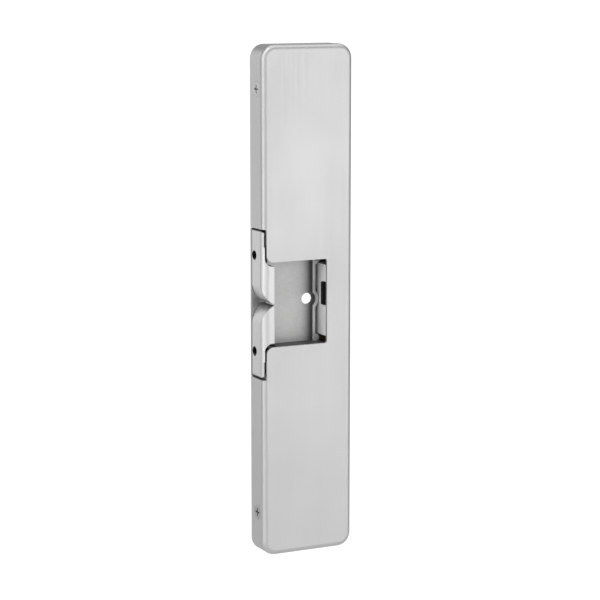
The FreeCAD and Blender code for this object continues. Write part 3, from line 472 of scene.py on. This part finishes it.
def dome(bm, centre, radius, height):
    """Small solder fillet standing on a face that looks out of the front."""
    out = Vector((0, -1, 0))
    side = Vector((1, 0, 0))
    up = out.cross(side)
    segments, rings = 14, 4
    rows = []
    for ring in range(rings):
        share = ring / rings
        r = radius * math.cos(share * math.pi / 2) ** 0.8
        rise = height * math.sin(share * math.pi / 2) ** 1.5
        rows.append([bm.verts.new(centre + out * rise
                                  + side * (r * math.cos(2 * math.pi * k / segments))
                                  + up * (r * math.sin(2 * math.pi * k / segments)))
                     for k in range(segments)])
    top = bm.verts.new(centre + out * height)
    for lower, upper in zip(rows, rows[1:]):
        for k in range(segments):
            n = (k + 1) % segments
            bm.faces.new((lower[k], lower[n], upper[n], upper[k]))
    for k in range(segments):
        bm.faces.new((rows[-1][k], rows[-1][(k + 1) % segments], top))
    bm.faces.new(list(reversed(rows[0])))


# Where legs meet the board: how far past each part's side or end, and how far apart.
RECTIFIER_ROW = 1.2 * MM
RECTIFIER_REACH = 0.9 * MM
VARISTOR_HALF_PITCH = 2.2 * MM
VARISTOR_FOOT = 1.0 * MM
CAPACITOR_HALF_PITCH = 1.2 * MM
CAPACITOR_FOOT = 1.4 * MM
HEADER_FIRST_PIN = 1.7 * MM
HEADER_PITCH = 2.93 * MM
HEADER_PINS = 4
HEADER_FOOT = 1.1 * MM


def board_front():
    """Y of the face of the circuit board that carries its parts."""
    low = middle("circuit_board")[1]
    return low.y


def rectifier_legs():
    """(side, x of the edge, x of the foot, z) of each of the rectifier's four legs."""
    low, high = middle("rectifier")[1:]
    return [(side, edge, edge + side * RECTIFIER_REACH, z)
            for side, edge in ((-1, low.x), (1, high.x))
            for z in (low.z + RECTIFIER_ROW, high.z - RECTIFIER_ROW)]


def make_solder():
    """Solder joints of the board's parts, on its front."""
    front = board_front()
    bm = bmesh.new()
    for _, _, foot, z in rectifier_legs():
        dome(bm, Vector((foot, front, z)), 0.75 * MM, 0.45 * MM)
    varistor, _, high = middle("varistor")
    feet = [(varistor.x + side * VARISTOR_HALF_PITCH, high.z + VARISTOR_FOOT) for side in (-1, 1)]
    capacitor, low, _ = middle("capacitor")
    feet += [(capacitor.x + side * CAPACITOR_HALF_PITCH, low.z - CAPACITOR_FOOT) for side in (-1, 1)]
    low, high = middle("terminal_header")[1:]
    pins = [low.x + HEADER_FIRST_PIN + HEADER_PITCH * pin for pin in range(HEADER_PINS)]
    feet += [(x, high.z + HEADER_FOOT) for x in pins]
    for x, z in feet:
        dome(bm, Vector((x, front, z)), 0.6 * MM, 0.4 * MM)
    bmesh.ops.recalc_face_normals(bm, faces=bm.faces)
    for face in bm.faces:
        face.smooth = True
    piece("solder_joints", bm, "solder")


def wire_curve(name, points, radius, material, body="housing"):
    """Round wire that bends smoothly at a few points."""
    data = bpy.data.curves.new(name, "CURVE")
    data.dimensions = "3D"
    data.bevel_depth = radius
    data.bevel_resolution = 4
    data.resolution_u = 8
    data.use_fill_caps = True
    weight = 1.0
    spline = data.splines.new("NURBS")
    spline.points.add(len(points) - 1)
    for target, point in zip(spline.points, points):
        target.co = (*point, weight)
    spline.order_u = 3
    spline.use_endpoint_u = True
    item = bpy.data.objects.new(name, data)
    bpy.context.scene.collection.objects.link(item)
    data.materials.append(MATERIALS[material])
    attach(item, body)
    return item


def make_component_legs():
    """Bent tinned legs from the rectifier, varistor and capacitor to their solder joints."""
    front = board_front()
    leg = 0.25 * MM
    inside = 0.3 * MM
    rectifier = middle("rectifier")[0]
    for index, (side, edge, foot, z) in enumerate(rectifier_legs()):
        points = [(edge - side * inside, rectifier.y, z), (foot, rectifier.y, z), (foot, front, z)]
        wire_curve(f"rectifier_leg_{index}", points, leg, "solder")
    varistor, _, high = middle("varistor")
    foot = high.z + VARISTOR_FOOT
    for index, side in enumerate((-1, 1)):
        reach = side * VARISTOR_HALF_PITCH
        x = varistor.x + reach
        points = [(varistor.x + 0.6 * reach, varistor.y, high.z - 0.9 * MM),
                  (x, varistor.y, high.z + 0.6 * MM), (x, varistor.y, foot), (x, front, foot)]
        wire_curve(f"varistor_leg_{index}", points, leg, "solder")
    capacitor, low, _ = middle("capacitor")
    foot = low.z - CAPACITOR_FOOT
    for index, side in enumerate((-1, 1)):
        x = capacitor.x + side * CAPACITOR_HALF_PITCH
        points = [(x, capacitor.y, low.z + inside), (x, capacitor.y, foot), (x, front, foot)]
        wire_curve(f"capacitor_leg_{index}", points, leg, "solder")


# ---------------------------------------------------------------- camera, light and floor


AZIMUTH = math.radians(26.42)
ELEVATION = math.radians(9.19)
DISTANCE = 0.933
SHIFT_RIGHT = -0.744 * MM
SHIFT_UP = 0.19 * MM
SENSOR = 36.0
LENS = 124.93


def make_camera():
    """Long lens, left of the front and a little above, shifted across its own view."""
    back = Vector((-math.sin(AZIMUTH) * math.cos(ELEVATION), -math.cos(AZIMUTH) * math.cos(ELEVATION),
                   math.sin(ELEVATION)))
    right = Vector((math.cos(AZIMUTH), -math.sin(AZIMUTH), 0))
    up = back.cross(right)
    centre = Vector((0, (CAD_BOX[0][1] + CAD_BOX[1][1]) / 2, 0))
    data = bpy.data.cameras.new("camera")
    data.sensor_width = SENSOR
    data.lens = LENS
    data.clip_start = 0.01
    data.clip_end = 50.0
    camera = bpy.data.objects.new("camera", data)
    turn = Matrix((right, up, back)).transposed().to_4x4()
    place = centre + right * SHIFT_RIGHT + up * SHIFT_UP + back * DISTANCE
    camera.matrix_world = Matrix.Translation(place) @ turn
    bpy.context.scene.collection.objects.link(camera)
    bpy.context.scene.camera = camera


LIGHTS = {  # place, width, height, watts; all point at the middle of the strike
    "right_front": ((0.9, -1.5, -0.2), 1.4, 1.8, 10.8),
    "front_fill": ((-0.8, -1.35, -0.05), 0.9, 1.4, 2.8),
    "left_strip": ((-1.3, -0.45, 0.35), 0.8, 1.6, 6.5),
    "overhead": ((0.35, -0.1, 1.3), 1.2, 1.4, 5),
    "top_left": ((-0.7, -0.7, 1.4), 0.8, 0.8, 6),
    "left_back": ((-0.85, 1.6, 0.25), 1.0, 1.5, 3.4),
}


def make_lights():
    """Large soft panels round the strike, unseen by the camera."""
    for name, (place, width, height, watts) in LIGHTS.items():
        data = bpy.data.lights.new(name, "AREA")
        data.shape = "RECTANGLE"
        data.size = width
        data.size_y = height
        data.energy = watts
        light = bpy.data.objects.new(name, data)
        light.location = place
        light.rotation_euler = (-Vector(place)).to_track_quat("-Z", "Y").to_euler()
        light.visible_camera = False
        bpy.context.scene.collection.objects.link(light)


WHITE = (1.0, 1.0, 1.0, 1.0)
WHITE_SEEN = 1.1
ROOM_LEVEL = 0.32


def make_world():
    """Plain pale studio: white to the camera, with a soft level for the metal to mirror."""
    world = bpy.data.worlds.new("studio")
    bpy.context.scene.world = world
    world.use_nodes = True
    tree = world.node_tree
    tree.nodes.clear()
    out = tree.nodes.new("ShaderNodeOutputWorld")
    mix = tree.nodes.new("ShaderNodeMixShader")
    path = tree.nodes.new("ShaderNodeLightPath")
    seen = tree.nodes.new("ShaderNodeBackground")
    seen.inputs["Color"].default_value = WHITE
    seen.inputs["Strength"].default_value = WHITE_SEEN
    lit = tree.nodes.new("ShaderNodeBackground")
    lit.inputs["Color"].default_value = WHITE
    lit.inputs["Strength"].default_value = ROOM_LEVEL
    tree.links.new(path.outputs["Is Camera Ray"], mix.inputs[0])
    tree.links.new(lit.outputs[0], mix.inputs[1])
    tree.links.new(seen.outputs[0], mix.inputs[2])
    tree.links.new(mix.outputs[0], out.inputs[0])


def make_floor():
    """Wide pale floor below the strike, plain white where the camera sees it."""
    bm = bmesh.new()
    reach = 12.0
    height = -0.45
    corners = [bm.verts.new((x * reach, y * reach, height)) for x, y in ((-1, -1), (1, -1), (1, 1), (-1, 1))]
    bm.faces.new(corners)
    mesh = bpy.data.meshes.new("floor")
    bm.to_mesh(mesh)
    bm.free()
    floor = bpy.data.objects.new("floor", mesh)
    bpy.context.scene.collection.objects.link(floor)
    g = Graph("floor_paper")
    g.set("Base Color", (0.86, 0.86, 0.86, 1.0))
    g.set("Specular IOR Level", 0.1)
    grain = g.noise((40.0, 40.0, 40.0), detail=2.0)
    g.link(g.span(grain, 0.82, 0.94), g.shader.inputs["Roughness"])
    glow = g.add("ShaderNodeEmission")
    glow.inputs["Color"].default_value = WHITE
    glow.inputs["Strength"].default_value = WHITE_SEEN
    mix = g.add("ShaderNodeMixShader")
    g.link(g.add("ShaderNodeLightPath").outputs["Is Camera Ray"], mix.inputs[0])
    g.link(g.shader.outputs["BSDF"], mix.inputs[1])
    g.link(glow.outputs[0], mix.inputs[2])
    g.link(mix.outputs[0], g.out.inputs["Surface"])
    mesh.materials.append(g.material)


dress_nodes()
make_windings()
make_return_springs()
make_solder()
make_component_legs()
make_camera()
make_world()
make_floor()
make_lights()

bpy.context.scene.view_settings.view_transform = "Standard"
